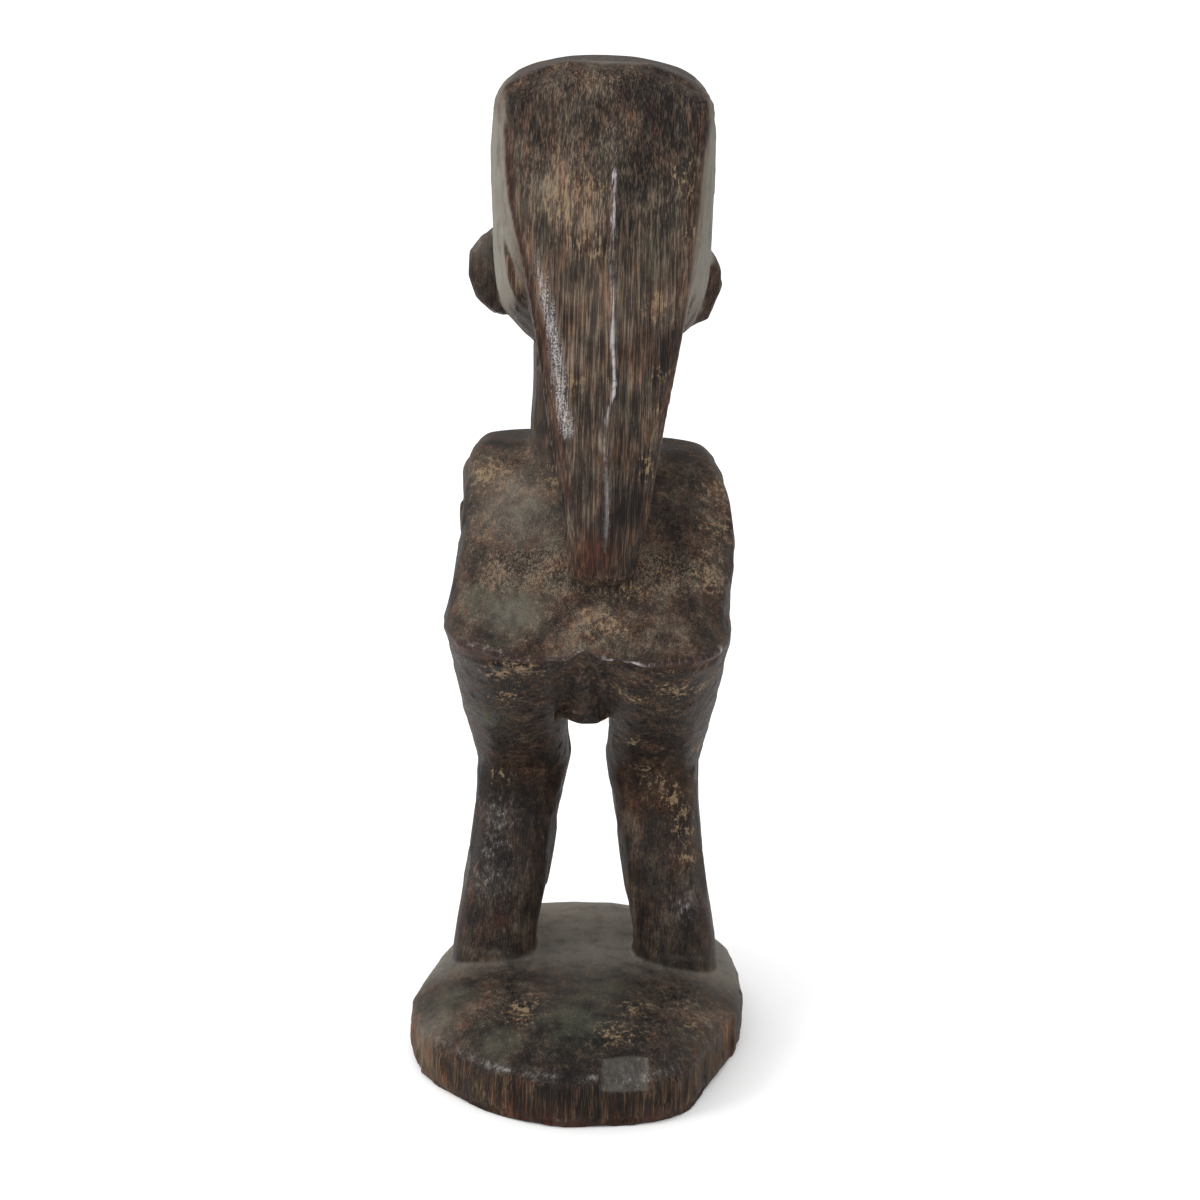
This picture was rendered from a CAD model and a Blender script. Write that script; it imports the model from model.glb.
"""Looks of the carved ancestor figure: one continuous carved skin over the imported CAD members.

The CAD solids are fused, given the finer features and tool marks of the carving, and cut apart again
into one closed piece per member. Lengths are in millimetres until a mesh is made.
"""

import math

import bmesh
import bpy
import numpy as np
from mathutils import Matrix, Vector, bvhtree, kdtree


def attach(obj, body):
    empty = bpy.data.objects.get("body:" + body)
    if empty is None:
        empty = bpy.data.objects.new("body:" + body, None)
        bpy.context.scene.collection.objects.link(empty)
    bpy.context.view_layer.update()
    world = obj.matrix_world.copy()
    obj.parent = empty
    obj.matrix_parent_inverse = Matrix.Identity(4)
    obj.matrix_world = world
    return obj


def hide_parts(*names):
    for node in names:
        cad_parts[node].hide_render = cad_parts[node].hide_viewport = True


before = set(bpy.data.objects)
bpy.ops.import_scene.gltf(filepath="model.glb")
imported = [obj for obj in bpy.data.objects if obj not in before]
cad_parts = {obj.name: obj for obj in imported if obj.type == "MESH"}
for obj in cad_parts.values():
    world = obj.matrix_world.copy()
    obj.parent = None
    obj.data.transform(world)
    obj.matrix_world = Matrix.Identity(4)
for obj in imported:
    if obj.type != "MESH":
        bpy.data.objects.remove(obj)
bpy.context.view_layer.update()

MM = 0.001
SET_BACK = 11.5   # the figure stands this far behind the middle of its plinth
LEGS_X = -2.9    # its legs stand this far to its right at the ground,
LEAN = 0.0143    # which fades with height at this rate
VOXEL = 0.9
RECESS = 2.2     # the hidden walls between members lie this far under the skin
rng = np.random.default_rng(7)


# ---------------------------------------------------------------- camera

# the eye stands over the figure's back and looks down at it
CAMERA_PLACE = (-0.0043, 1.0155, 0.540)
CAMERA_PITCH, CAMERA_ROLL = 18.6, 1.8
camera = bpy.data.objects.new("camera", bpy.data.cameras.new("camera"))
bpy.context.collection.objects.link(camera)
camera.data.lens, camera.data.sensor_width = 78.18, 36.0
camera.location = CAMERA_PLACE
pitch, roll = math.radians(CAMERA_PITCH), math.radians(CAMERA_ROLL)
camera.rotation_mode = "QUATERNION"
looking = Vector((0, -math.cos(pitch), -math.sin(pitch)))
camera.rotation_quaternion = (looking.to_track_quat("-Z", "Y").to_matrix()
                              @ Matrix.Rotation(roll, 3, "Z")).to_quaternion()
camera.data.clip_start, camera.data.clip_end = 0.01, 20
bpy.context.scene.camera = camera


# ---------------------------------------------------------------- noise

def lattice(i, j, k, seed):
    """A fixed random value from -1 to 1 for each whole place (i, j, k)."""
    h = i * 73856093 ^ j * 19349663 ^ k * 83492791 ^ (seed + 1) * 40503001
    h = (h ^ (h >> 13)) * 1274126177 & 0x7FFFFFFF
    return ((h ^ (h >> 9)) & 0xFFFF) / 32767.5 - 1


def noise(p, size, seed=0):
    """Smooth noise from -1 to 1. size is one feature's width in mm, or three widths."""
    q = p / np.asarray(size, float) + 1000
    i = np.floor(q).astype(np.int64)
    f = q - i
    f = f * f * (3 - 2 * f)
    out = np.zeros(len(p))
    for a in (0, 1):
        for b in (0, 1):
            for c in (0, 1):
                w = ((f[:, 0] if a else 1 - f[:, 0]) * (f[:, 1] if b else 1 - f[:, 1])
                     * (f[:, 2] if c else 1 - f[:, 2]))
                out += w * lattice(i[:, 0] + a, i[:, 1] + b, i[:, 2] + c, seed)
    return out


def rough(p, size, seed=0, octaves=3):
    """Noise with finer and weaker noise added, each octave half as wide and half as strong."""
    size = np.asarray(size, float)
    return sum(noise(p, size / 2 ** n, seed + n) / 2 ** n for n in range(octaves)) / 1.75


def ramp(v, low, high):
    """Rises smoothly from 0 at low to 1 at high."""
    t = np.clip((v - low) / (high - low), 0, 1)
    return t * t * (3 - 2 * t)


# ---------------------------------------------------------------- solids to fuse

shells = []   # (vertices in mm, faces)


def unit_ball():
    bm = bmesh.new()
    bmesh.ops.create_icosphere(bm, subdivisions=3, radius=1)
    v = np.array([w.co[:] for w in bm.verts])
    f = [[w.index for w in g.verts] for g in bm.faces]
    bm.free()
    return v, f


BALL = unit_ball()


def ball(centre, radii, tilt=0):
    """An ellipsoid in the figure's own frame, tilted sideways by that many degrees."""
    m = np.array(Matrix.Rotation(math.radians(tilt), 3, "Y"))
    radii = np.broadcast_to(np.asarray(radii, float), (3,))
    v = (BALL[0] * radii) @ m.T + np.asarray(centre, float) + (0, SET_BACK, 0)
    shells.append((v, BALL[1]))


def cord(points):
    """A rounded rod through points (x, y, z, radius)."""
    points = np.asarray(points, float)
    for a, b in zip(points[:-1], points[1:]):
        n = max(2, int(np.linalg.norm(b[:3] - a[:3]) / (0.45 * max(min(a[3], b[3]), 1))))
        for t in np.linspace(0, 1, n, endpoint=False):
            c = a + (b - a) * t
            ball(c[:3], c[3])
    ball(points[-1, :3], points[-1, 3])


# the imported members, welded, and grown a little so that neighbours fuse where they meet
OVERLAP = 0.15
cad = {}   # (vertices in mm, triangles) of each member
for name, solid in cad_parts.items():
    v = np.array([w.co[:] for w in solid.data.vertices]) / MM
    v, place = np.unique(np.round(v, 3), axis=0, return_inverse=True)
    f = [[int(place[i]) for i in p.vertices] for p in solid.data.polygons]
    f = [t for t in f if len(set(t)) == len(t)]
    cad[name] = (v, f)
    tri = np.array(f)
    n = np.zeros_like(v)
    cross = np.cross(v[tri[:, 1]] - v[tri[:, 0]], v[tri[:, 2]] - v[tri[:, 0]])
    for k in range(3):
        np.add.at(n, tri[:, k], cross)
    n /= np.linalg.norm(n, axis=1, keepdims=True) + 1e-12
    shells.append((v + OVERLAP * n, f))

# chin
ball((0, -54, 301), (13, 8, 7))


FOOT_X = 39      # a foot's middle lies this far from the midline
TOE_STEP = 6.4   # and its toes this far apart


def leg_x(x, z):
    """Where the leaning legs have the place that is x from the midline."""
    return x + LEGS_X + LEAN * z


def half_figure(s):
    """What the figure has on both sides. s is 1 for its left and -1 for its right."""
    # cheek, closed lid, brow and wing of the nose
    ball((s * 17, -50.5, 328), (10, 11, 11))
    ball((s * 17, -54.5, 342.5), (11.5, 8.5, 6.5))
    cord([(s * 3, -59, 353.5, 2.6), (s * 12, -58.2, 355.5, 2.8), (s * 22 - 0.5, -55.5, 354.5, 2.0)])
    ball((s * 6.2, -62, 325.8), (4.6, 5, 4.2))
    # ear: a rounded rim round a hollow, with a lobe. The right one sits closer in and a little lower
    out, up = (0, 0) if s > 0 else (-3.5, -2.5)
    cord([(s * (x + out), y, z + up, radius) for x, y, z, radius in (
        (38, -4, 347, 3.4), (44, -5, 347, 3.2), (48.2, -6, 341, 3.2),
        (48.4, -6, 333, 3.2), (44.5, -6, 325, 3.4), (38, -5, 321, 3.6))])
    # breast muscle and shoulder cap
    ball((s * 19, -33, 250), (15, 13, 9), s * 12)
    ball((s * 39, -12, 250), (13.5, 16, 13))
    # four fingers and a thumb laid on the belly
    for k in range(4):
        z = 209.5 + 3.5 * k
        cord([(s * 25, -46, z * 0.35 + 213 * 0.65, 3.2), (s * 17, -52.5, z, 2.5),
              (s * (7 + abs(k - 1.5)), -55.5, z + 1.2, 2.1)])
    cord([(s * 27, -44, 218, 3.2), (s * 21, -49.5, 224, 2.6), (s * 15, -51.5, 228, 2.2)])
    # kneecap, heel and toes
    ball((leg_x(s * 27.5, 123), -59, 123), (12.5, 4.8, 13))
    ball((leg_x(s * FOOT_X, 34), -15, 34), (15.5, 8, 9))
    for k in range(5):
        toe_x = leg_x(s * (FOOT_X + (k - 2) * TOE_STEP), 35)
        radius = 3.9 if k == 0 else 3.1 - 0.15 * k
        tip_y = -62.5 + 1.1 * k * k * 0.55
        cord([(toe_x, -48, 36, radius), (toe_x, tip_y + 4, 34.5, radius), (toe_x, tip_y, 33.5, radius * 0.9)])


for side in (1, -1):
    half_figure(side)
# bridge of the nose, lips, belly and navel
cord([(0, -57, 357, 3.4), (0, -60.5, 346, 3.6), (0, -64, 334, 4.2), (0, -66, 327.5, 4.8)])
ball((0, -62, 313.6), (11, 4.6, 3.2))
ball((0, -61.2, 308.6), (9.5, 4.6, 3.0))
ball((0, -42, 221), (34, 13.5, 17))
ball((0, -54.5, 220.5), (4.6, 3.4, 4.6))


def joined(a, b, count):
    """A label for each of count things, the same for all that the pairs (a, b) join."""
    group = np.arange(count)
    while True:
        low = np.minimum(group[a], group[b])
        new = group.copy()
        np.minimum.at(new, a, low)
        np.minimum.at(new, b, low)
        new = new[new]
        if np.array_equal(new, group):
            return group
        group = new


def outer_skin(v, e, f):
    """The largest connected skin, without the walls of pockets sealed inside the wood."""
    group = joined(e[:, 0], e[:, 1], len(v))
    keep = group == np.bincount(group).argmax()
    new = np.cumsum(keep) - 1
    return v[keep], new[e[keep[e[:, 0]]]], new[f[keep[f[:, 0]]]]


def fuse():
    """All shells as one mesh of even quads."""
    verts, faces, start = [], [], 0
    for v, f in shells:
        verts.append(v)
        faces += [[i + start for i in g] for g in f]
        start += len(v)
    mesh = bpy.data.meshes.new("fused")
    mesh.from_pydata(np.concatenate(verts).tolist(), [], faces)
    obj = bpy.data.objects.new("fused", mesh)
    bpy.context.collection.objects.link(obj)
    remesh = obj.modifiers.new("even", "REMESH")
    remesh.mode, remesh.voxel_size = "VOXEL", VOXEL
    dg = bpy.context.evaluated_depsgraph_get()
    out = bpy.data.meshes.new_from_object(obj.evaluated_get(dg))
    v = np.zeros(len(out.vertices) * 3, np.float32)
    out.vertices.foreach_get("co", v)
    e = np.zeros(len(out.edges) * 2, np.int32)
    out.edges.foreach_get("vertices", e)
    f = np.zeros(len(out.loops), np.int32)
    out.loops.foreach_get("vertex_index", f)
    assert len(f) == 4 * len(out.polygons)
    bpy.data.objects.remove(obj)
    bpy.data.meshes.remove(out)
    return outer_skin(v.reshape(-1, 3).astype(float), e.reshape(-1, 2), f.reshape(-1, 4))


# the skin: its vertices in mm, and its edges and quads as vertex numbers
V, E, F = fuse()
degree = np.maximum(np.bincount(E.ravel(), minlength=len(V)), 1)


def spread(a):
    """The mean of each vertex's neighbours."""
    if a.ndim == 1:
        return (np.bincount(E[:, 0], a[E[:, 1]], len(V)) + np.bincount(E[:, 1], a[E[:, 0]], len(V))) / degree
    return np.stack([spread(a[:, k]) for k in range(a.shape[1])], 1)


def normals(v):
    """The unit normal at each vertex."""
    c = np.cross(v[F[:, 2]] - v[F[:, 0]], v[F[:, 3]] - v[F[:, 1]])
    n = np.stack([sum(np.bincount(F[:, j], c[:, k], len(v)) for j in range(4)) for k in range(3)], 1)
    return n / (np.linalg.norm(n, axis=1, keepdims=True) + 1e-12)


def ease(v, times, convex=0.15, concave=0.6, where=None):
    """Smooths hollows into soft fillets and leaves the edges nearly sharp."""
    for _ in range(times):
        n = normals(v)
        pull = spread(v) - v
        out = np.einsum("ij,ij->i", pull, n)
        w = np.where(out > 0, concave, convex)
        if where is not None:
            w = w * where
        v = v + pull * w[:, None]
    return v


def figure():
    """Every vertex in the figure's own frame, whose axis stands SET_BACK behind the plinth's middle."""
    return V - (0, SET_BACK, 0)


def within(low, high, edge):
    """1 inside a box of the figure's frame, falling softly to 0 over the given edge outside it."""
    p = figure()
    w = np.ones(len(V))
    for k in range(3):
        w *= ramp(p[:, k], low[k] - edge, low[k]) * ramp(-p[:, k], -high[k] - edge, -high[k])
    return w


def keep_size(before, rounds):
    """Gives back what smoothing took from the broad shape, and leaves the fine smoothing."""
    lost = before - V
    for _ in range(rounds):
        lost = spread(lost)
    return V + lost


# the fillets are eased most on the undercut and the front, and hardly on the crisp tress
tress = within((-40, 36, 222), (40, 70, 430), 3)
undercut = within((-70, -30, 104), (70, 70, 196), 8)
fused = V
V = ease(V, 3, 0.5, 0.5, 1 - 0.75 * tress)
V = ease(V, 14 if VOXEL > 1 else 26, 0.08, 0.5, 1 - 0.9 * tress)
V = ease(V, 24, 0.5, 0.5, undercut)
front = within((-60, -90, 200), (60, -12, 400), 6)
V = ease(V, 4 if VOXEL > 1 else 9, 0.5, 0.5, front)
V = keep_size(fused, 10)


# ---------------------------------------------------------------- carving

def along(points):
    """For every vertex, its distance in mm to a line of the figure's frame and its share of the line's length."""
    p = np.asarray(points, float) + (0, SET_BACK, 0)
    best = np.full(len(V), 1e9)
    share = np.zeros(len(V))
    lengths = np.linalg.norm(p[1:] - p[:-1], axis=1)
    total, done = lengths.sum(), 0
    for a, b, l in zip(p[:-1], p[1:], lengths):
        t = np.clip((V - a) @ (b - a) / l ** 2, 0, 1)
        d = np.linalg.norm(V - a - t[:, None] * (b - a), axis=1)
        near = d < best
        best[near], share[near] = d[near], ((done + t * l) / total)[near]
        done += l
    return best, share


def draw(points, width, depth, ends=0.15):
    """Presses a groove of that depth into the surface along a line, or raises a ridge if depth is negative."""
    global V
    d, t = along(points)
    k = np.clip(1 - (d / width) ** 2, 0, 1) ** 1.5
    k *= ramp(t, 0, ends) * ramp(1 - t, 0, ends) if ends else 1
    V = V - normals(V) * (depth * k)[:, None]


def scoop(x, y, z, radii, depth):
    """Presses a shallow dish into the surface."""
    global V
    k = np.exp(-(((figure() - (x, y, z)) / np.asarray(radii, float)) ** 2).sum(1))
    V = V - normals(V) * (depth * k)[:, None]


def shave(point, normal, where):
    """Cuts everything beyond a plane back to it, like one stroke of an adze, and returns where it cut."""
    global V
    n = np.asarray(normal, float)
    n /= np.linalg.norm(n)
    cut = np.clip((figure() - np.asarray(point, float)) @ n, 0, None) * where
    V = V - n * cut[:, None]
    return ramp(cut, 0.05, 0.5)


def facets(size, stretch, strength, where=1.0):
    """Flattens the surface inside irregular cells, as tool cuts do."""
    global V
    n = normals(V)
    p = V * (1, 1, 1 / stretch)
    side = np.argmax(np.abs(n), axis=1)
    side = side * 2 + (np.take_along_axis(n, side[:, None], 1)[:, 0] > 0)
    cell = np.floor(p / size + rng.uniform(0, 1, 3)).astype(np.int64) + 500
    key = (cell[:, 0] * 1000 + cell[:, 1]) * 10000 + cell[:, 2] * 8 + side
    inverse = np.unique(key, return_inverse=True)[1]
    order = rng.random(len(V))
    best = np.full(inverse.max() + 1, 2.0)
    np.minimum.at(best, inverse, order)
    pick = np.nonzero(order == best[inverse])[0]
    smooth_n, smooth_v = n, V
    for _ in range(6):
        smooth_n, smooth_v = spread(smooth_n), spread(smooth_v)
    smooth_n = smooth_n / (np.linalg.norm(smooth_n, axis=1, keepdims=True) + 1e-12)
    seeds = kdtree.KDTree(len(pick))
    for i, j in enumerate(pick):
        seeds.insert(p[j], i)
    seeds.balance()
    own = np.fromiter((seeds.find(q)[1] for q in p.tolist()), np.int64, len(V))
    seed_v, seed_n = smooth_v[pick][own], smooth_n[pick][own]
    d = np.einsum("ij,ij->i", V - seed_v, seed_n)
    agree = np.clip((np.einsum("ij,ij->i", seed_n, n) - 0.6) / 0.3, 0, 1)
    V = V - seed_n * (np.clip(d, -0.9, 0.9) * strength * agree * where)[:, None]


# long flat strokes down the limbs and head, shallower on the tress and the undercut
calm = np.maximum(np.maximum(0.9 * tress, undercut), 0.8 * ramp(normals(V)[:, 2], 0.3, 0.65))
calm = np.maximum(calm, 0.7 * within((-70, -50, 20), (70, 0, 58), 6))
facets(15, 2.4, 0.8, 1 - calm)
facets(13, 1.0, 0.45, undercut)
V = ease(V, 2, 0.25, 0.35, 1 - 0.6 * tress)
# the right shoulder is a little lower than the left
V = V - (0, 0, 2.0) * within((-70, -40, 262), (-26, 20, 275), 9)[:, None]

# the sharp edge under the back sags into two lobes, with a notch between them
p = figure()
lobes = (np.exp(-((p[:, 0] - 17) / 15) ** 2) + np.exp(-((p[:, 0] + 22) / 17) ** 2)
         - 0.9 * np.exp(-((p[:, 0] - 1) / 5) ** 2))
near_edge = np.exp(-((p[:, 2] - 203) / 9) ** 2) * ramp(p[:, 1], 35, 55)
V = V + (0, 0, -1) * (2.4 * lobes * near_edge)[:, None]
left_lip = [(50, 57, 204), (41, 64, 203), (29, 68, 201), (18, 69, 199.5), (8, 69, 201), (3, 68, 204)]
right_lip = [(-1, 68, 204), (-6, 69, 202.5), (-13, 69, 200), (-22, 68, 199.5), (-34, 66, 201),
             (-46, 62, 202), (-53, 55, 203)]
for lip in (left_lip, right_lip):
    draw(lip, 2.4, -1.1, 0.1)
    draw([(x, y - 3, z - 4.5) for x, y, z in lip], 3.0, 1.0, 0.12)
# the block between the thighs, cut in by two grooves that meet under the notch
draw([(2, 67, 199), (5, 50, 187), (8.5, 28, 168), (9.5, 6, 152)], 3.6, 2.8, 0.06)
draw([(1, 67, 199), (-1.5, 50, 187), (-6, 28, 168), (-9, 6, 152)], 3.6, 2.8, 0.06)
draw([(-2, 42, 181), (-3, 28, 169), (-4, 12, 156)], 1.6, 1.2, 0.2)

# the back: a long facet at its right edge, shallow dishes, a crack and the gap under the tress
shave((-43, 25, 241), (-0.36, 0.6, 0.72), within((-70, -8, 208), (-30, 70, 262), 4))
scoop(31, 54, 216, (11, 11, 11), 1.3)
scoop(34, 25, 243, (15, 25, 25), 1.4)
scoop(-30, 25, 243, (12, 25, 25), 1.2)
draw([(4.5, 52, 218.5), (1, 52.5, 218), (-2, 52.5, 218.2), (-5, 51, 220)], 1.2, 1.0, 0.2)
draw([(8, 45, 226), (5, 48, 222.5), (-2, 49, 221.5), (-12, 50, 223), (-18, 46, 229)], 2.4, 1.5, 0.1)

# the tress: its middle ridge and the edges of its side facets
ridge = [(-4, 42, 417), (-4, 47, 403), (-5, 51, 389), (-4.6, 54.5, 375), (-5, 56, 345), (-6, 56.5, 319),
         (-7.4, 56, 306), (-4.6, 56, 293), (-4.4, 56, 278), (-6.2, 55.5, 262), (-6, 55, 240)]
left_edge = [(36, 38, 408), (35.5, 45, 394), (33.5, 48, 373), (30, 50, 356), (26, 51, 342), (22, 51.5, 327),
             (18.5, 52, 313), (15, 52, 295), (12, 52, 275), (9, 52, 250)]
right_edge = [(-36, 36, 410), (-36.5, 46, 393), (-36, 49, 372), (-34, 51, 350), (-31.5, 51, 327), (-29, 51, 303),
              (-26, 50, 284), (-23, 50, 260), (-19.5, 50, 238)]
top_edge = [(34, 37, 413), (24, 40, 417.5), (11, 41, 420), (-4, 42, 420.5), (-16, 41, 418), (-31, 39, 414)]
p = figure()
# the crown's two back corners stand out, and the board slopes away from its ridge like a roof
for x, y, z in ((37, 38, 408), (-38, 38, 408)):
    corner = np.exp(-(np.linalg.norm(p - (x, y, z), axis=1) / 8) ** 2)
    V = V + np.array((math.copysign(0.7, x), 0.1, 0.7)) * (2.4 * corner)[:, None]
roof = tress * ramp(normals(V)[:, 1], 0.6, 0.9) * ramp(p[:, 1], 44, 50)
V = V - (0, 1, 0) * (roof * np.clip(np.abs(p[:, 0] + 5) * 0.07, 0, 2.2))[:, None]
draw(ridge, 1.9, -0.7, 0.02)
draw(left_edge, 2.0, -0.6, 0.05)
draw(right_edge, 2.0, -0.5, 0.05)
draw(top_edge, 2.4, -0.6, 0.1)

# the closed eyes, mouth and nostrils, and the gaps between fingers and toes
for s in (1, -1):
    scoop(s * 8, -61, 345, (5, 7, 6.5), 2.0)
    scoop(s * 17, -60, 333, (9, 7, 4), 1.2)
    draw([(s * 8.5, -58, 341.5), (s * 17, -61.5, 339.8), (s * 26, -56, 342)], 1.3, 1.1, 0.2)
    draw([(s * 7.5, -58, 347.6), (s * 17, -60.5, 349.3), (s * 27, -54, 347.2)], 1.4, 0.9, 0.2)
    draw([(s * 4.8, -66, 322.3), (s * 5.2, -63, 321.8)], 2.0, 1.2, 0)
    draw([(s * 9.5, -63, 332), (s * 11.5, -61, 326), (s * 13.5, -59, 319)], 2.2, 0.7, 0.3)
    for k in range(3):
        z = 211.2 + 3.5 * k
        draw([(s * 18, -54.6, z), (s * 8, -58, z + 1.2)], 1.0, 0.9, 0.1)
    for k in range(4):
        x = leg_x(s * (FOOT_X + (k - 1.5) * TOE_STEP), 36)
        draw([(x, -50, 40), (x, -60, 37), (x, -64, 32)], 1.3, 1.1, 0.1)
    # the crease behind the knee
    x = leg_x(s * 27.5, 118)
    draw([(x - 14, -22, 119), (x, -19.5, 117), (x + 14, -22, 119)], 3, 0.5, 0.3)
draw([(-10.5, -63, 311), (-5, -66, 310.8), (0, -66.8, 311.3), (5, -66, 310.8), (10.5, -63, 311)], 1.3, 1.4, 0.15)

# the plinth: a chip out of the rim, worn foot of the wall, and cracks up the grain
corners = cad["base"][0]
rim_level = 22.0
CRACKS = 12
rim = corners[np.abs(corners[:, 2] - rim_level) < 0.2] - (0, SET_BACK, 0)
rim = rim[np.argsort(np.arctan2(rim[:, 1], rim[:, 0]))]
rim = np.concatenate([rim, rim[:1]])
rim_distance = along(rim)[0]
chip = shave((-20, 66.6, 19), (-0.16, 0.74, 0.66), within((-29, 50, 10), (-12, 90, 30), 1.5))
p, n = figure(), normals(V)
wall = np.clip(1 - np.abs(n[:, 2]) * 1.4, 0, 1) * ramp(-p[:, 2], -24, -20)
outward = n * (1, 1, 0)
grain_wall = rough(V, (2.4, 2.4, 60), 31, 2) * 0.55 + rough(V, (6, 6, 80), 32, 2) * 0.7
foot = ramp(-p[:, 2], -5, -0.5) * np.hypot(p[:, 0], p[:, 1] + SET_BACK) / 70
V = V + outward * (wall * (grain_wall - foot * (0.9 + 1.3 * rough(V, (9, 9, 40), 33, 3))))[:, None]
for _ in range(CRACKS):
    at = rim[rng.integers(len(rim) - 1)]
    reach = rng.uniform(0.35, 0.95)
    start = rng.uniform(0, 0.5)
    line = [(at[0] + rng.normal(0, 3), at[1] + rng.normal(0, 1), rim_level * z)
            for z in (start, start + reach / 2, start + reach)]
    draw(line, 1.3, rng.uniform(0.5, 1.1), 0.2)

# fine grain up the sides, slight waves all over, and a flat underside
V = ease(V, 1, 0.15, 0.3)
n = normals(V)
grain = rough(V, (2.6, 2.6, 45), 11, 2) * 0.12 + rough(V, (7, 7, 90), 12, 2) * 0.2
waves = rough(V, 22, 13, 3) * 0.3 + rough(V, 7, 14, 2) * 0.12
V = V + n * (grain * (1 - np.abs(n[:, 2])) + waves * (1 - 0.5 * tress))[:, None]
V[:, 2] = np.maximum(V[:, 2], 0)


# ---------------------------------------------------------------- paint masks

def patches(places):
    """Soft round patches, each (x, y, z, radius) in the figure's frame."""
    out = np.zeros(len(V))
    for x, y, z, r in places:
        out = np.maximum(out, np.exp(-(np.linalg.norm(figure() - (x, y, z), axis=1) / r) ** 2))
    return out


def stripe(points, width, ends=0.06):
    """A soft stripe along a line."""
    d, t = along(points)
    fade = ramp(t, 0, ends) * ramp(1 - t, 0, ends) if ends else 1
    return np.exp(-(d / width) ** 2) * fade


# convex edges and concave hollows, told from how far the skin lies off its own smoothed shape
n = normals(V)
broad = V
for _ in range(12):
    broad = spread(broad)
bend = np.einsum("ij,ij->i", broad - V, n)
edge = ramp(-bend, 0.10, 0.75)
hollow = ramp(bend, 0.10, 0.9)
p = figure()
up = ramp(n[:, 2], 0.15, 0.75)
back = ramp(p[:, 2], 200, 206) * ramp(-p[:, 2], -270, -262) * up

# how worn and dusty the surface is, from 0 for black and polished to 1 for bare pale wood
faces_back = ramp(n[:, 1], 0.3, 0.8)
rim_band = np.exp(-(rim_distance / 2.0) ** 2) * ramp(rough(V, 9, 41, 2), -0.25, 0.2)
head_side = (ramp(p[:, 2], 300, 320) * ramp(np.abs(n[:, 0]), 0.5, 0.85) * ramp(np.abs(p[:, 0]), 27, 36)
             * (1 - ramp(np.abs(p[:, 0]), 43.5, 45.5)) * ramp(p[:, 1], -44, -22))
left_of_ridge = ramp(p[:, 0] + 5, -0.6, 0.6)
worn = (0.42 + 0.07 * up + 0.08 * hollow - 0.08 * edge + tress * (0.06 + 0.06 * left_of_ridge)
        + back * (0.08 + 0.03 * left_of_ridge) - 0.06 * undercut + 0.08 * wall - 0.12 * chip + 0.25 * head_side)
# (x, y, z, radius, amount) of patches that are paler or darker than their surroundings
broad_tints = [(14, 52, 372, 17, 0.20), (16, 53, 350, 14, 0.06), (-33, 50, 370, 12, 0.10), (-22, 54, 336, 14, 0.10),
               (10, 53, 300, 10, 0.08), (0, 54, 240, 10, -0.10), (-15, 50, 262, 12, -0.10),
               (-14, 48, 405, 12, -0.04), (16, 48, 398, 22, 0.05),
               (20, 20, 254, 16, 0.10), (38, 12, 257, 16, 0.10), (-5, 57, 214, 16, 0.08), (-36, 28, 240, 16, -0.06),
               (-48, 12, 252, 12, 0.16), (-47, 36, 226, 9, 0.14), (30, 52, 216, 12, 0.10), (20, 25, 178, 22, -0.06),
               (-28, 20, 168, 24, -0.06), (26, -16, 90, 26, -0.10), (-40, -14, 100, 14, 0.08), (0, 46, 31, 28, -0.20),
               (50, 10, 28, 20, 0.06), (-55, 20, 26, 18, 0.14), (0, -55, 34, 36, 0.34), (-62, -20, 26, 14, 0.08),
               (60, 30, 12, 16, 0.22), (0, 72, 8, 26, -0.10)]
for x, y, z, r, amount in broad_tints:
    worn = worn + amount * patches([(x, y, z, r)])
# (x, y, z, radius) of the tan spots
dust_spots = [(14, 53, 374, 9), (5, 54, 378, 6), (-1, 54, 380, 3), (3, 55, 359, 7), (-31, 52, 382, 5),
              (-33, 52, 362, 4), (-22, 55, 336, 6), (-2, 41, 416, 3), (-24, 54, 310, 3),
              (-24, 53, 295, 3), (-21, 53, 273, 4),
              (9, 55, 306, 5), (16, 17, 256, 6), (39, 11, 258, 6), (-48, 9, 253, 6), (-50, 22, 243, 5),
              (-46, 38, 225, 6), (-6, 57, 213, 7), (-15, 47, 222, 5), (34, 56, 190, 5), (26, 60, 195, 7),
              (-36, 47, 182, 5), (-46, 44, 183, 4), (-16, 37, 175, 4), (-20, -2, 140, 4), (-26, -18, 122, 4),
              (-31, -20, 114, 4), (-37, -20, 108, 4), (-43, -19, 100, 5), (-44, -18, 93, 5), (-46, -16, 82, 4),
              (-47, -13, 133, 4), (36, -21, 114, 3), (21, 38, 32, 5), (25, 31, 32, 4), (-25, 29, 32, 5),
              (-46, 22, 28, 4), (-47, 32, 27, 4), (-15, 47, 30, 7), (32, 40, 175, 4)]
ring_mark = [(26, 26, 32), (22, 20, 32.5), (17, 21, 33), (16, 28, 33), (20, 33, 32), (25, 31, 32)]
dust = 0.62 * patches([(x, y, z, 1.5 * r) for x, y, z, r in dust_spots]) + 0.6 * stripe(ring_mark, 1.3, 0)
dust = dust + 0.10 * undercut * ramp(p[:, 2], 150, 185)
dust = dust + 0.25 * patches([(46, 25, 240, 12), (44, 45, 222, 10), (46, 5, 256, 12), (-46, 30, 235, 10)])
crust = (patches([(0, 44, 32, 26), (26, 34, 32, 18), (-28, 40, 30, 20), (-45, 20, 29, 12)])
         + 0.8 * undercut * ramp(p[:, 2], 120, 160) + 0.25 * back
         + 0.2 * patches([(0, 58, 214, 20), (-45, 20, 240, 20), (45, 25, 240, 20)]))
tawny = 0.7 * undercut + wall + 0.5 * patches([(0, 55, 236, 10)])
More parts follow.
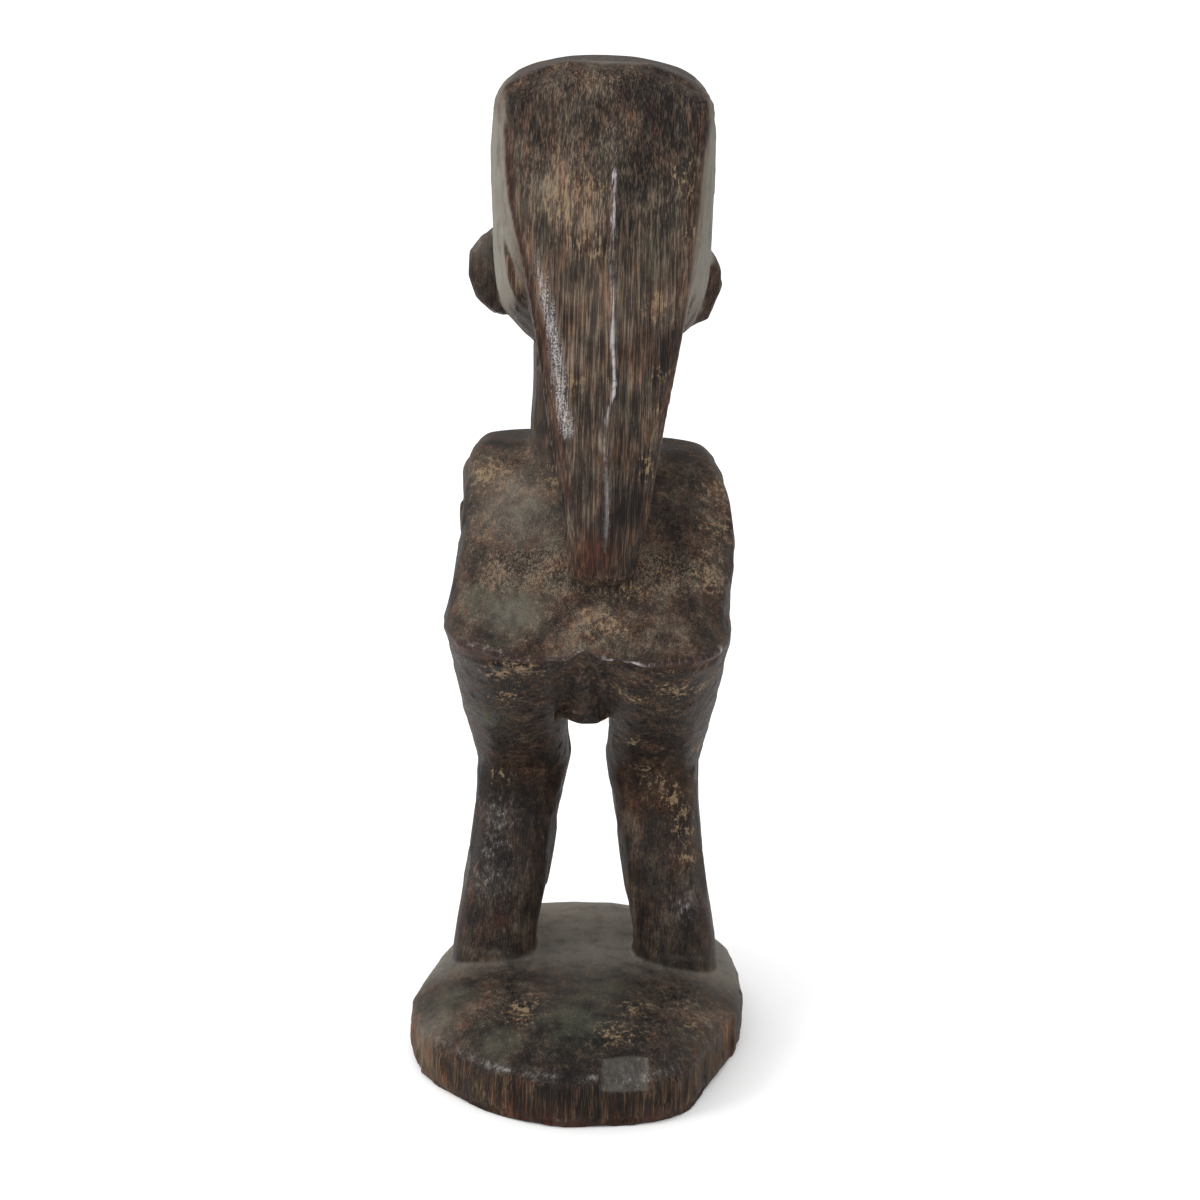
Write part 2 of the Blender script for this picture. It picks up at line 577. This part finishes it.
dark_spots = [(-13, 44, 410, 7), (-13, 52, 385, 9), (-12, 54, 362, 8), (-16, 53, 253, 8), (11, 34, 175, 5),
              (36, -16, 126, 5), (-28, 23, 160, 7), (-39, 48, 219, 5), (50, 52, 209, 4), (2, 47, 220, 5),
              (-30, 10, 245, 6)]
dark = 0.5 * patches(dark_spots) + 0.6 * ramp(bend, 0.5, 1.6)
under_tip = [(10, 50, 222.5), (3, 52.5, 220), (-4, 53, 219.5), (-12, 52, 221), (-19, 48, 224)]
dark = dark + 0.75 * stripe(under_tip, 2.6)
for line in ([(2, 66, 199), (5, 50, 187), (8.5, 28, 168)], [(1, 66, 199), (-1.5, 50, 187), (-6, 28, 168)]):
    dark = dark + 0.7 * stripe(line, 1.6)

def below(line):
    """The line moved just under the lip."""
    return [(x, y - 0.8, z - 2) for x, y, z in line]


red_spots = [(-2, 54, 238, 9), (3, 54, 232, 5), (-3, 56, 276, 3), (22, 72, 3, 6), (10, 72, 2, 6), (-2, 72, 1, 5),
             (60, 37, 14, 4), (-69, -4, 10, 8), (-62, 12, 6, 8), (-33, 66, 3, 4), (34, -10, 52, 3), (52, 57, 201, 4)]
red = (0.7 * patches(red_spots) + 0.22 * edge + 0.55 * stripe(left_edge, 2.2) + 0.35 * stripe(right_edge, 2.5)
       + 0.75 * np.maximum(stripe(below(left_lip), 2.6), stripe(below(right_lip), 2.6))
       + 0.4 * wall * ramp(-p[:, 2], -5, -0.5))
green = patches([(31, 55, 215, 10), (26, 50, 217, 8), (31, 52, 29, 9), (43, 49, 217, 6), (52, 18, 29, 9),
                 (0, 40, 32, 16), (-10, 15, 33, 10), (40, 17, 158, 8)])
crown_top = ramp(p[:, 2], 398, 408)
crown_rim = np.exp(-(along([(41, 20, 402), (36, 28, 411), (22, 33, 418), (0, 36, 422), (-24, 33, 418),
                            (-37, 28, 411), (-42, 20, 402)])[0] / 2.2) ** 2)
# grey dust on the sides of the head, the crown's rim and what faces up
veil = (head_side * ramp(p[:, 2], 312, 340) * (1 - 0.5 * crown_top) + 0.5 * crown_rim
        + 0.7 * up * ramp(-p[:, 1], -10, 25) * ramp(-p[:, 2], -60, -50)
        + 0.4 * patches([(46, -6, 346, 7), (60, 30, 20, 9), (28, 20, 245, 16), (31, 55, 214, 8)])
        + 0.3 * chip)

# rubbed and glossy places: the lip, a line down the tress, its crest and the plinth's rim
lip_glints = patches([(44, 63, 203.5, 5), (38, 66, 203, 4), (-10, 69, 201.5, 4), (-18, 69, 200, 5),
                      (-24, 68, 200, 3)])
lip = np.minimum(along(left_lip)[0], along(right_lip)[0])
gloss_line, gloss_share = along([(30.5, 50, 385), (27.5, 52, 370), (23.5, 54, 352), (19.8, 54, 338),
                                 (16.6, 54, 324), (14, 54, 309), (12, 54, 296), (10.5, 54, 287)])
gloss_line = gloss_line + 4.5 * ramp(-gloss_share, -0.5, -0.05)
gloss_band = np.exp(-(gloss_line / 2.4) ** 2)
crest = stripe(ridge, 1.2, 0.02)
shiny_spots = [(36, -18, 98, 7), (37, -15, 84, 7), (39, -13, 70, 7), (-45, -12, 62, 6)]
shine = (patches(shiny_spots) + 0.9 * gloss_band + 0.5 * np.exp(-(lip / 1.5) ** 2) + 0.7 * rim_band * faces_back
         + 0.3 * chip + 0.35 * edge + crest)
pale = 0.05 * rim_band * faces_back
crest_glint = (0.2 + 0.8 * ramp(p[:, 2], 282, 296) * ramp(-p[:, 2], -402, -385)) * ramp(-p[:, 2], -416, -410)
streaks = np.clip(0.25 + 0.75 * tress + 0.75 * wall + 0.3 * ramp(-np.abs(n[:, 2]), -0.5, -0.1)
                  - 0.5 * undercut, 0, 1)
masks = {"worn": worn, "dust": dust, "dark": dark, "red": red, "green": green, "veil": veil, "shine": shine,
         "pale": pale, "streaks": streaks, "lip_glints": lip_glints, "crust": crust, "crest_glint": crest_glint,
         "tawny": tawny}
masks = {key: np.clip(values, 0, 1) for key, values in masks.items()}
# distances in mm to the crests and the glossy line, for markings finer than the mesh
masks["ridge_mm"] = np.minimum(along(ridge)[0], 9)
masks["lip_mm"] = np.minimum(lip, 9)
masks["gloss_mm"] = np.minimum(gloss_line, 9)


# ---------------------------------------------------------------- cutting the skin into members

def owner_of(centres):
    """Which CAD member each face belongs to: the one whose surface is nearest."""
    reach = 5   # mm past a member's box in which a face is tested against it
    names = list(cad)
    best = np.full(len(centres), 1e9)
    own = np.zeros(len(centres), np.int64)
    for i, name in enumerate(names):
        v, f = cad[name]
        tree = bvhtree.BVHTree.FromPolygons(v.tolist(), f)
        near = np.nonzero(np.all((centres > v.min(0) - reach) & (centres < v.max(0) + reach), axis=1))[0]
        for j in near:
            hit = tree.find_nearest(Vector(centres[j]), best[j])
            if hit[3] is not None and hit[3] < best[j]:
                best[j], own[j] = hit[3], i
    return names, own


names, own = owner_of(V[F].mean(1))
# faces across each edge, so that ragged borders and islands can be tidied
sides = np.sort(np.concatenate([F[:, [k, (k + 1) % 4]] for k in range(4)]), axis=1)
face_of = np.tile(np.arange(len(F)), 4)
order = np.lexsort((sides[:, 1], sides[:, 0]))
sides, face_of = sides[order], face_of[order]
pair = np.nonzero(np.all(sides[1:] == sides[:-1], axis=1))[0]
A, B = face_of[pair], face_of[pair + 1]
for _ in range(8):
    votes = np.zeros((len(F), len(names)))
    np.add.at(votes, (A, own[B]), 1)
    np.add.at(votes, (B, own[A]), 1)
    votes[np.arange(len(F)), own] += 1.5
    own = votes.argmax(1)
# a member keeps its large patches, and an island of fewer faces goes to its neighbour
ISLAND = 60
for _ in range(3):
    same = own[A] == own[B]
    group = joined(A[same], B[same], len(F))
    size = np.bincount(group, minlength=len(F))[group]
    small = size < ISLAND
    if not small.any():
        break
    cross = small[A] & ~small[B]
    own[A[cross]] = own[B[cross]]
    cross = small[B] & ~small[A]
    own[B[cross]] = own[A[cross]]

wood = bpy.data.materials.new("carved_wood")


def member(name, faces):
    """A closed piece: its share of the skin, and a hidden wall across each opening."""
    used, f = np.unique(faces, return_inverse=True)
    f = f.reshape(-1, 4)
    v = V[used]
    half = np.concatenate([f[:, [k, (k + 1) % 4]] for k in range(4)])
    code = half[:, 0].astype(np.int64) * len(v) + half[:, 1]
    back = half[:, 1].astype(np.int64) * len(v) + half[:, 0]
    rim = half[~np.isin(code, back)]
    group = joined(rim[:, 0], rim[:, 1], len(v))
    # the wall steps in from the rim before it closes, so that it never shows
    caps, extra, sources = [], [], []
    for g in np.unique(group[rim[:, 0]]) if len(rim) else []:
        loop = rim[group[rim[:, 0]] == g]
        ring = np.unique(loop)
        first = len(v) + len(extra)
        inner = {int(k): first + j for j, k in enumerate(ring)}
        middle = first + len(ring)
        sunk = v[ring] - RECESS * n[used[ring]]
        extra += list(sunk) + [sunk.mean(0)]
        sources += [used[k:k + 1] for k in ring] + [used[ring]]
        for a, b in loop.tolist():
            caps += [(b, a, inner[a], inner[b]), (inner[b], inner[a], middle)]
    mesh = bpy.data.meshes.new(name)
    all_v = np.concatenate([v] + [np.array(extra)] * bool(extra)) * MM
    mesh.from_pydata(all_v.tolist(), [], f.tolist() + caps)
    mesh.shade_smooth()
    for key, values in masks.items():
        layer = mesh.attributes.new(key, "FLOAT", "POINT")
        inner = np.array([values[source].mean() for source in sources])
        layer.data.foreach_set("value", np.concatenate([values[used], inner]).astype(np.float32))
    all_n = np.concatenate([n[used]] + [[n[source].mean(0)] for source in sources])
    mesh.normals_split_custom_set_from_vertices(all_n.tolist())
    mesh.materials.append(wood)
    obj = bpy.data.objects.new("carved_" + name, mesh)
    bpy.context.collection.objects.link(obj)
    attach(obj, "root")
    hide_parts(name)


for i, name in enumerate(names):
    member(name, F[own == i])


# ---------------------------------------------------------------- wood

wood.use_nodes = True
tree = wood.node_tree
tree.nodes.clear()


def node(kind, *links, **settings):
    """A shader node with its settings, and its inputs in order: a socket to link, a value, or None to leave."""
    made = tree.nodes.new("ShaderNode" + kind)
    for key, value in settings.items():
        setattr(made, key, value)
    for socket, value in zip(made.inputs, links):
        if isinstance(value, bpy.types.NodeSocket):
            tree.links.new(value, socket)
        elif value is not None:
            socket.default_value = value
    return made


def mask(name):
    """A paint mask, read from the mesh."""
    return node("Attribute", attribute_name=name).outputs["Fac"]


def math_node(operation, a, b, c=None):
    return node("Math", a, b, c, operation=operation).outputs[0]


def times(a, b):
    return math_node("MULTIPLY", a, b)


def plus(a, b):
    return math_node("ADD", a, b)


def level(value, low, high, to_low=0.0, to_high=1.0):
    """The value's range low..high mapped smoothly onto to_low..to_high."""
    made = node("MapRange", value, low, high, to_low, to_high, interpolation_type="SMOOTHSTEP")
    return made.outputs[0]


def mix(factor, a, b, blend="MIX"):
    """Colour b laid over colour a."""
    made = tree.nodes.new("ShaderNodeMix")
    made.data_type, made.blend_type = "RGBA", blend
    for socket, value in ((made.inputs["Factor"], factor), (made.inputs[6], a), (made.inputs[7], b)):
        if isinstance(value, bpy.types.NodeSocket):
            tree.links.new(value, socket)
        else:
            socket.default_value = value if socket.type == "VALUE" else (*value, 1)
    return made.outputs[2]


place = node("TexCoord").outputs["Object"]


def spots(per_metre, stretch=1.0, detail=2.0, roughness=0.55):
    """Noise of that many features in a metre, drawn out up the grain."""
    scaled = node("Mapping", place, None, None, (per_metre, per_metre, per_metre * stretch))
    return node("TexNoise", scaled.outputs[0], None, 1.0, detail, roughness).outputs[0]


# the wood's colours, from black and polished to bare and pale
WOOD = [(0.00, (0.004, 0.0035, 0.0035)), (0.25, (0.013, 0.0092, 0.0078)), (0.45, (0.033, 0.0228, 0.0172)),
        (0.62, (0.066, 0.0465, 0.0345)), (0.80, (0.112, 0.082, 0.060)), (1.00, (0.185, 0.138, 0.098))]
# laid over the wood: grime, rust, tan and green encrustation, grey dust and rubbed crests
BLACK = (0.004, 0.0035, 0.0035)
RED = (0.066, 0.022, 0.013)
TAN = (0.240, 0.168, 0.100)
GREEN = (0.066, 0.072, 0.050)
VEIL = (0.190, 0.176, 0.148)
PALE = (0.38, 0.355, 0.35)
# multiplied into it
COOL = (0.86, 0.98, 0.98)
WARM = (1.14, 0.95, 0.86)
TAWNY = (1.06, 0.86, 0.68)

# from the finest grain to broad clouds
fibres = spots(2300, 0.035, 2.0, 0.6)
strands = spots(850, 0.03, 3.0, 0.6)
specks = spots(1900, 0.7, 2.0, 0.65)
crumbs = spots(430, 0.75, 4.0, 0.72)
mottle = spots(95, 0.6, 5.0, 0.68)
hue = spots(150, 0.35, 3.0, 0.6)
clouds = spots(24, 0.6, 3.0, 0.5)
streaky, crust = mask("streaks"), mask("crust")

lines = level(plus(times(fibres, 0.55), times(strands, 0.45)), 0.40, 0.61)
dots = level(plus(times(specks, 0.5), times(crumbs, 0.5)), 0.40, 0.61)
texture = node("Mix", streaky, None, dots, lines).outputs[0]
contrast = plus(level(streaky, 0.0, 1.0, 0.32, 0.46), times(crust, 0.42))
tone = plus(plus(mask("worn"), times(plus(texture, -0.5), contrast)),
            plus(times(plus(mottle, -0.5), 1.25), times(plus(clouds, -0.5), 0.40)))
palette = node("ValToRGB", tone)
for stop in range(len(WOOD) - 2):
    palette.color_ramp.elements.new(0.5)
for element, (position, shade) in zip(palette.color_ramp.elements, WOOD):
    element.position, element.color = position, (*shade, 1)
colour = palette.outputs[0]
# the wood turns cool and greenish in some places, and warm and rusty in others
colour = mix(level(hue, 0.50, 0.64, 0.0, 0.9), colour, COOL, "MULTIPLY")
colour = mix(level(hue, 0.36, 0.50, 0.9, 0.0), colour, WARM, "MULTIPLY")
colour = mix(mask("tawny"), colour, TAWNY, "MULTIPLY")
colour = mix(times(mask("green"), level(mottle, 0.35, 0.6, 0.15, 0.7)), colour, GREEN)
colour = mix(times(mask("veil"), level(mottle, 0.32, 0.56, 0.5, 1.0)), colour, VEIL)
colour = mix(times(mask("red"), level(texture, 0.0, 0.8, 0.35, 0.95)), colour, RED)
caught = plus(mask("dust"), plus(times(plus(texture, -0.5), 0.45), times(plus(crumbs, -0.5), 2.4)))
colour = mix(level(caught, 0.50, 0.95, 0.0, 0.85), colour, TAN)
colour = mix(times(mask("pale"), level(texture, 0.1, 0.75, 0.2, 1.0)), colour, PALE)
colour = mix(times(mask("dark"), level(texture, 0.3, 1.0, 0.95, 0.5)), colour, BLACK)
# worn, almost white crests: the middle ridge, the lip of the back, and the rubbed edge of the tress
ragged = times(plus(strands, -0.5), 3.0)
ridge_line = times(level(plus(mask("ridge_mm"), ragged), 0.30, 0.85, 1.0, 0.0),
                   times(mask("crest_glint"), level(crumbs, 0.32, 0.5, 0.4, 1.0)))
lip_line = times(level(plus(mask("lip_mm"), ragged), 0.40, 1.5, 1.0, 0.0), mask("lip_glints"))
rubbed = times(level(plus(mask("gloss_mm"), times(ragged, 3.0)), 1.0, 4.2, 1.0, 0.0),
               level(plus(times(specks, 0.6), times(fibres, 0.4)), 0.46, 0.56, 0.05, 0.9))
glints = times(mask("shine"), level(plus(times(fibres, 0.5), times(crumbs, 0.5)), 0.55, 0.62, 0.0, 0.35))
bright = math_node("MAXIMUM", math_node("MAXIMUM", ridge_line, lip_line),
                   math_node("MAXIMUM", rubbed, glints))
colour = mix(bright, colour, PALE)

roughness = plus(level(tone, 0.2, 0.9, 0.46, 0.85), times(plus(texture, -0.5), 0.16))
shine_here = times(mask("shine"), level(crumbs, 0.44, 0.60, 0.15, 1.0))
roughness = node("Mix", shine_here, None, roughness, 0.3).outputs[0]
height = plus(plus(times(texture, 0.7), times(mottle, 0.6)), times(crumbs, plus(0.4, crust)))
bump = node("Bump", 0.75, 0.0006, None, height)
shader = node("BsdfPrincipled", colour, None, roughness)
tree.links.new(bump.outputs[0], shader.inputs["Normal"])
tree.links.new(shine_here, shader.inputs["Coat Weight"])
shader.inputs["Coat Roughness"].default_value = 0.22
shader.inputs["Specular IOR Level"].default_value = 0.12
node("OutputMaterial", shader.outputs[0])


# ---------------------------------------------------------------- floor and light

floor_mesh = bpy.data.meshes.new("floor")
floor_mesh.from_pydata([(-6, -6, 0), (6, -6, 0), (6, 6, 0), (-6, 6, 0)], [], [(0, 1, 2, 3)])
floor = bpy.data.objects.new("floor", floor_mesh)
bpy.context.collection.objects.link(floor)
paper = bpy.data.materials.new("paper")
paper.use_nodes = True
coating = paper.node_tree.nodes["Principled BSDF"]
coating.inputs["Base Color"].default_value = (0.95, 0.95, 0.95, 1)
coating.inputs["Roughness"].default_value = 0.9
floor_mesh.materials.append(paper)

world = bpy.data.worlds.new("studio")
world.use_nodes = True
world.node_tree.nodes["Background"].inputs["Color"].default_value = (1, 1, 1, 1)
world.node_tree.nodes["Background"].inputs["Strength"].default_value = 0.93
bpy.context.scene.world = world


def lamp(name, kind, spot, target, **settings):
    """A light at spot that shines at target."""
    data = bpy.data.lights.new(name, kind)
    for key, value in settings.items():
        setattr(data, key, value)
    obj = bpy.data.objects.new(name, data)
    obj.location = spot
    obj.rotation_mode = "QUATERNION"
    obj.rotation_quaternion = (Vector(target) - Vector(spot)).to_track_quat("-Z", "Y")
    bpy.context.collection.objects.link(obj)


lamp("soft_sky", "SUN", (0.7, 0.6, 2.2), (0, 0, 0), energy=1.15, angle=math.radians(80))
lamp("soft_side", "AREA", (1.3, 0.7, 0.8), (0, 0, 0.25), shape="DISK", size=0.7, energy=10)
bpy.context.scene.view_settings.view_transform = "Standard"
